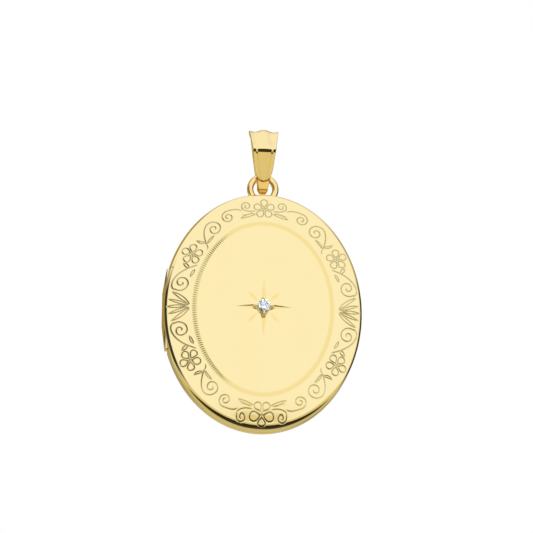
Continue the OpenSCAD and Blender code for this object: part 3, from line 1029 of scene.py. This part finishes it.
def build_bail():
    """Bent strip with two flutes, a creased front leg with faint ribs and facets, and rounded edges; painted
    shade on the facets' edges and the loop.
    """
    path, first_loop, leg_rows = bail_path()
    n = len(path)
    z = path[:, 1]
    d = np.gradient(path, axis=0)
    d /= np.linalg.norm(d, axis=1)[:, None]
    inward = np.stack([d[:, 1], -d[:, 0]], 1)
    width = bail_widths(path, first_loop, leg_rows)
    depth = 0.3 * np.interp(z, [-5.6, -2.1, 0.6], [0.1, 0.7, 1])
    depth[first_loop:] = 0
    # the crease begins under the bend of the front leg
    along = np.concatenate([[0], np.cumsum(np.linalg.norm(np.diff(path, axis=0), axis=1))])
    under = along[leg_rows + 8] - along
    crease = np.interp(under, [0.0, 0.4, 3.3], [0, CREASE, 0.9 * CREASE]) * (np.arange(n) < leg_rows + 9)
    share = bail_shares()
    off = np.abs(share)
    wave = np.where(off < 0.7, (1 - np.cos(np.pi * off / 0.7)) / 2, 1 - 0.5 * (off - 0.7) / 0.3)
    rib = ease(0.1 - np.abs(off - 0.68), 0, 0.08)
    rib_run = np.interp(under, [0.4, 0.6], [0.9, 0])
    facet_from = np.interp(z, [-5.6, -1.9], [0.32, 0.58])
    faceted = np.interp(z, [-2.2, -0.6], [1, 0])
    round_r = 0.1
    bail_shade_amount = np.zeros((n, 2 * len(share)), np.float32)
    verts = []
    for i in range(n):
        x = share * width[i]
        edge = np.clip(round_r - (width[i] - np.abs(x)), 0, round_r)
        lip = round_r - np.sqrt(round_r ** 2 - edge ** 2)
        step = ease(off, facet_from[i], facet_from[i] + 0.25)
        flute = depth[i] * (wave * (1 - faceted[i]) + 0.25 * step * faceted[i])
        out = flute + lip + crease[i] * (1 - rib * rib_run[i])
        inn = flute + BAIL_T - lip
        for offset, xs in ((out, x), (inn[::-1], x[::-1])):
            p = path[i] + inward[i] * offset[:, None]
            verts.append(np.column_stack([xs, p]))
        if i < leg_rows:
            # painted shade along the edges of the leg's facets
            bail_shade_amount[i, :len(share)] = 1.2 * step * (1 - step)
    # the loop is painted amber all over: painted shade
    bail_shade_amount[first_loop:] = 0.9
    cols = 2 * len(share)
    faces = grid_faces(n, cols)
    faces.append(cap(0, cols)[::-1])
    faces.append(cap((n - 1) * cols, cols))
    obj = make("bail_fluted", np.concatenate(verts), faces, BAIL_GOLD, sharp=50)
    outward(obj)
    mark(obj, "bail_painted_shade", 0, bail_shade_amount)
    place(obj, "bail", "bail")


build_bail()


# ---- Studio ----------------------------------------------------------------------------------

scene = bpy.context.scene
scene.view_settings.view_transform = "Standard"


def build_world():
    """White room ahead, dark below, warm behind and at the side, with two dark flags; angles in degrees."""
    world = bpy.data.worlds.new("studio")
    scene.world = world
    world.use_nodes = True
    n = Nodes(world.node_tree)
    split = n.add("ShaderNodeSeparateXYZ")
    n.link(n.add("ShaderNodeTexCoord").outputs["Generated"], split.inputs[0])
    x, y, z = split.outputs
    elev = n.math("MULTIPLY_ADD", n.math("ARCSINE", z), 1 / math.pi, 0.5)
    azim = n.math("MULTIPLY_ADD", n.math("ARCTAN2", x, n.math("MULTIPLY", y, -1.0)), 0.5 / math.pi, 0.5)

    def warm(v):
        return (v, v * 0.9, v * 0.56)

    def straw(v):
        return (v, v * 0.885, v * 0.53)

    def amber(v):
        return (v, v * 0.76, v * 0.3)

    def by_elevation(stops):
        return n.ramp(elev, [((v + 90) / 180, c) for v, c in stops])

    def by_azimuth(stops):
        return n.ramp(azim, [((v + 180) / 360, c) for v, c in stops])

    ahead = by_elevation([
        (-90, warm(0.56)), (-75, warm(0.06)), (-28, 0.015), (-25, straw(0.6)), (-20, straw(0.74)),
        (-13.5, straw(0.78)), (-12, 0.95), (-8, 1.0), (80, 1.0), (90, 0.95)])
    behind = by_elevation([
        (-90, warm(0.6)), (-50, warm(0.6)), (-9, warm(0.62)), (2, warm(0.42)), (44, warm(0.42)),
        (56, 0.85), (90, 0.95)])
    rear = by_azimuth([(-95, 1.0), (-62, 0.0), (62, 0.0), (95, 1.0)])
    side = by_azimuth([
        (-168, 0.0), (-154, 1.0), (-74, 1.0), (-68, 0.0), (134, 0.0), (142, 0.7), (162, 0.7), (172, 0.0)])
    side_height = by_elevation([(-10, 0.0), (4, 1.0), (58, 1.0), (66, 0.0)])
    flags = by_azimuth([
        (-72, 0.0), (-67, 1.0), (-37, 1.0), (-33, 0.0), (76, 0.0), (84, 1.0), (124, 1.0), (132, 0.0)])
    flag_height = by_elevation([(-18, 0.0), (-8, 1.0), (22, 1.0), (32, 0.0)])
    room = n.mix(rear, ahead, behind)
    room = n.mix(n.math("MULTIPLY", side, side_height), room, (*amber(0.42), 1))
    dark = n.math("MULTIPLY", n.math("MULTIPLY", flags, flag_height), 0.97)
    room = n.mix(dark, room, (0.012, 0.01, 0.005, 1))
    room = n.mix(n.add("ShaderNodeLightPath").outputs["Is Camera Ray"], room, (1, 1, 1, 1))
    bg = n.add("ShaderNodeBackground")
    bg.inputs["Strength"].default_value = 1.0
    n.link(room, bg.inputs["Color"])
    n.link(bg.outputs[0], n.add("ShaderNodeOutputWorld").inputs["Surface"])


def build_light():
    """Soft disc light, high on the left."""
    data = bpy.data.lights.new("softbox", "AREA")
    data.shape = "DISK"
    data.size = 0.3
    data.energy = 1.6
    lamp = bpy.data.objects.new("softbox", data)
    scene.collection.objects.link(lamp)
    lamp.location = (-0.12, -0.34, 0.26)
    aim = Vector((0, 0, -0.02)) - lamp.location
    lamp.rotation_euler = aim.to_track_quat("-Z", "Y").to_euler()
    lamp.visible_glossy = False
    lamp.visible_camera = False


def build_floor():
    """Pale plain disc, well below the locket."""
    radius = 500
    height = -170
    corners = 96
    material, _, shader = new_surface("pale_floor")
    shader.inputs["Base Color"].default_value = (0.9, 0.9, 0.9, 1)
    shader.inputs["Roughness"].default_value = 0.9
    c, s = around(corners)
    verts = np.stack([radius * c, radius * s, np.full(corners, height)], 1)
    floor = make("floor", verts, [cap(0, corners)], material, smooth=False)
    floor.visible_glossy = False


def build_camera():
    """Nearly in front of the locket, looking up at it from a little below."""
    azimuth = math.radians(-5.0)
    elevation = math.radians(-15.95)
    roll = math.radians(0.68)
    distance = 0.3
    data = bpy.data.cameras.new("camera")
    data.lens = 167.96     # mm
    data.shift_x = 0.0077
    data.shift_y = 0.0837
    data.clip_start = 0.01
    cam = bpy.data.objects.new("camera", data)
    scene.collection.objects.link(cam)
    target = Vector((0, -1.5, BODY_Z)) * MM
    flat = math.cos(elevation)
    away = Vector((math.sin(azimuth) * flat, -math.cos(azimuth) * flat, math.sin(elevation)))
    turn = (-away).to_track_quat("-Z", "Y").to_matrix() @ Matrix.Rotation(roll, 3, "Z")
    cam.matrix_world = Matrix.Translation(target + away * distance) @ turn.to_4x4()
    scene.camera = cam


build_world()
build_light()
build_floor()
build_camera()
